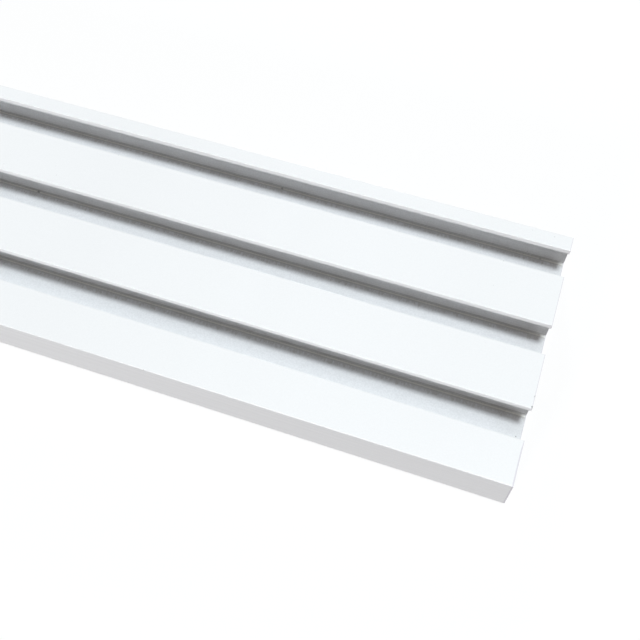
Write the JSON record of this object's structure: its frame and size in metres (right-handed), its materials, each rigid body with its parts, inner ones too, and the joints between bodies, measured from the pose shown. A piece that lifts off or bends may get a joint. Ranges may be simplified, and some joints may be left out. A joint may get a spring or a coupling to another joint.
{
  "type": "curtain track",
  "caption": "Long flat curtain track: a white aluminium extrusion with parallel lipped channels in which runners slide, its flat back made to lie against a ceiling.",
  "frame": {"origin": "centre of the flat back, under the middle of the track", "axes": "+X along the track, +Y from its wide front box to its back wall, +Z from the flat back to the slotted faces"},
  "size_m": [0.4, 0.0522, 0.0083],
  "materials": {
    "white_coat": "satin white powder coat on aluminium, bare metal at the sawn ends"
  },
  "bodies": {
    "root": {"track_profile": "white_coat"}
  },
  "joints": []
}
